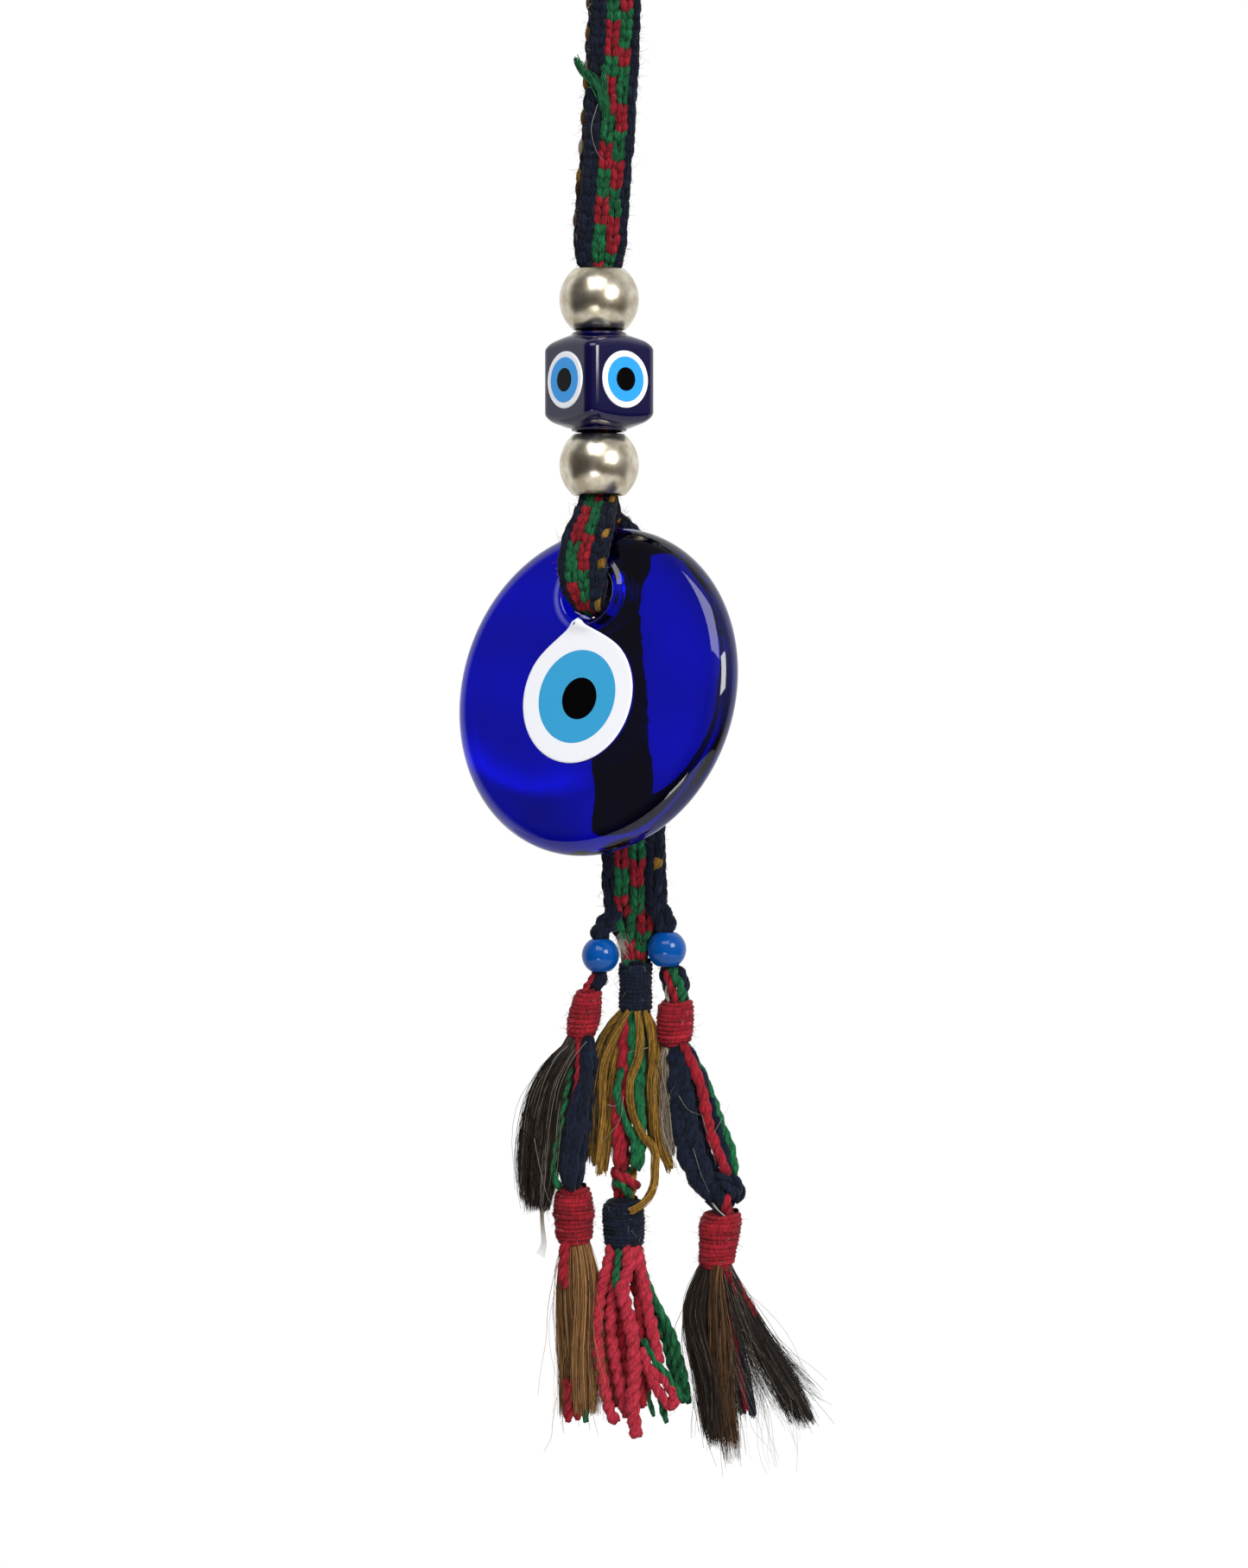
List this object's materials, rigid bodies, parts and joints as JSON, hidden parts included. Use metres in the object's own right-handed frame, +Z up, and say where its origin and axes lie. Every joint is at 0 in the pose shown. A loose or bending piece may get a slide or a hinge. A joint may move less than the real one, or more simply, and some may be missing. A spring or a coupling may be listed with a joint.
{
  "type": "evil eye wall hanging",
  "caption": "Hanging evil eye ornament: a braided wool band carries metal beads, a glass cube bead, a large cobalt glass eye disc on straps, and bound yarn and hair tassels.",
  "frame": {"origin": "top of the hanging loop's eye, where a nail or hook bears", "axes": "+Z up, the front faces -Y, +X to the viewer's right"},
  "size_m": [0.0875, 0.0534, 0.4054],
  "materials": {
    "braid_wool": "matte",
    "navy_wool": "matte",
    "red_wool": "matte",
    "green_wool": "matte",
    "mustard_wool": "matte",
    "dark_hair": "satin",
    "brown_hair": "satin",
    "grey_hair": "satin",
    "champagne_metal": "polished",
    "cobalt_glass": "polished",
    "white_glass": "polished",
    "azure_glass": "polished",
    "black_glass": "polished",
    "azure_bead": "polished"
  },
  "bodies": {
    "hanging_band": {"hanging_loop": "braid_wool", "upper_band_front": "braid_wool", "upper_band_back": "braid_wool"},
    "bottom_bead": {"bottom_metal_bead": "champagne_metal"},
    "cube": {"cube_bead": "cobalt_glass", "cube_eye_white_1": "white_glass", "cube_eye_iris_1": "azure_glass", "cube_eye_pupil_1": "black_glass", "cube_eye_white_2": "white_glass", "cube_eye_iris_2": "azure_glass", "cube_eye_pupil_2": "black_glass", "cube_eye_white_3": "white_glass", "cube_eye_iris_3": "azure_glass", "cube_eye_pupil_3": "black_glass", "cube_eye_white_4": "white_glass", "cube_eye_iris_4": "azure_glass", "cube_eye_pupil_4": "black_glass"},
    "top_bead": {"top_metal_bead": "champagne_metal"},
    "straps": {"front_strap": "braid_wool", "back_strap": "braid_wool"},
    "disc": {"disc_glass": "cobalt_glass", "disc_eye_white": "white_glass", "disc_eye_iris": "azure_glass", "disc_eye_pupil": "black_glass"},
    "lower_band": {"lower_band": "braid_wool", "band_tongue": "red_wool", "centre_upper_wrap": "navy_wool"},
    "left_group": {"left_edge_cord": "navy_wool", "left_upper_wrap": "red_wool"},
    "left_bead": {"left_blue_bead": "azure_bead"},
    "left_strands": {"left_hair_tuft": "dark_hair", "left_yarn_strands": "navy_wool"},
    "left_tail": {"left_lower_wrap": "red_wool", "left_lower_tassel": "brown_hair"},
    "centre_strands": {"centre_mustard_left": "mustard_wool", "centre_mustard_right": "mustard_wool", "centre_core_yarns": "red_wool", "centre_knot": "red_wool"},
    "centre_tail": {"centre_lower_wrap": "navy_wool", "centre_lower_tassel": "red_wool", "centre_green_yarns": "green_wool"},
    "right_group": {"right_edge_cord": "navy_wool", "right_link_braid": "green_wool", "right_upper_wrap": "red_wool"},
    "right_bead": {"right_blue_bead": "azure_bead"},
    "right_strands": {"right_hair_tuft": "grey_hair", "right_yarn_strands": "navy_wool", "right_knot": "navy_wool"},
    "right_tail": {"right_lower_wrap": "red_wool", "right_lower_tassel": "dark_hair"}
  },
  "joints": [
    {"name": "bottom_bead_slide", "type": "slide", "parent": "hanging_band", "child": "bottom_bead", "axis": [0, 0, 1], "range_m": [0, 0.03], "deforming": ["upper_band_front", "upper_band_back"]},
    {"name": "cube_spin", "type": "hinge", "parent": "bottom_bead", "child": "cube", "pos_m": [-0.0039, 0, -0.1391], "axis": [0, 0, 1], "continuous": true},
    {"name": "top_bead_slide", "type": "slide", "parent": "bottom_bead", "child": "top_bead", "axis": [0, 0, 1], "range_m": [0, 0.03]},
    {"name": "strap_swing", "type": "hinge", "parent": "hanging_band", "child": "straps", "pos_m": [-0.0039, 0, -0.167], "axis": [1, 0, 0], "range_deg": [-20, 20]},
    {"name": "disc_swing", "type": "hinge", "parent": "straps", "child": "disc", "pos_m": [-0.0035, -0.00142, -0.1919], "axis": [-0.5779, -0.7955, 0.1822], "range_deg": [-25, 25]},
    {"name": "lower_band_swing", "type": "hinge", "parent": "straps", "child": "lower_band", "pos_m": [0.0026, 0.0082, -0.1982], "axis": [0.809, -0.5878, 0], "range_deg": [-8, 45]},
    {"name": "left_tassel_swing", "type": "hinge", "parent": "lower_band", "child": "left_group", "pos_m": [-0.0005, 0.0036, -0.2706], "axis": [0, 1, 0], "range_deg": [0, 40]},
    {"name": "left_bead_spin", "type": "hinge", "parent": "left_group", "child": "left_bead", "pos_m": [-0.0036, 0.0026, -0.2804], "axis": [0, 0, 1], "continuous": true},
    {"name": "left_strands_swing", "type": "hinge", "parent": "left_group", "child": "left_strands", "pos_m": [-0.0086, 0.0036, -0.3016], "axis": [1, 0, 0], "range_deg": [-40, 40]},
    {"name": "left_tail_swing", "type": "hinge", "parent": "left_strands", "child": "left_tail", "pos_m": [-0.0104, 0.0036, -0.337], "axis": [1, 0, 0], "range_deg": [-40, 40]},
    {"name": "centre_strands_swing", "type": "hinge", "parent": "lower_band", "child": "centre_strands", "pos_m": [0.005, 0.0036, -0.2956], "axis": [1, 0, 0], "range_deg": [-40, 40]},
    {"name": "centre_tail_swing", "type": "hinge", "parent": "centre_strands", "child": "centre_tail", "pos_m": [0.002, 0.0036, -0.34], "axis": [1, 0, 0], "range_deg": [-40, 40]},
    {"name": "right_tassel_swing", "type": "hinge", "parent": "lower_band", "child": "right_group", "pos_m": [0.0104, 0.0036, -0.2706], "axis": [0, -1, 0], "range_deg": [0, 40]},
    {"name": "right_bead_spin", "type": "hinge", "parent": "right_group", "child": "right_bead", "pos_m": [0.0128, 0.0016, -0.2789], "axis": [0, 0, 1], "continuous": true},
    {"name": "right_strands_swing", "type": "hinge", "parent": "right_group", "child": "right_strands", "pos_m": [0.0147, 0.0036, -0.3033], "axis": [1, 0, 0], "range_deg": [-40, 40]},
    {"name": "right_tail_swing", "type": "hinge", "parent": "right_strands", "child": "right_tail", "pos_m": [0.0266, 0.0036, -0.3434], "axis": [1, 0, 0], "range_deg": [-40, 40]}
  ]
}
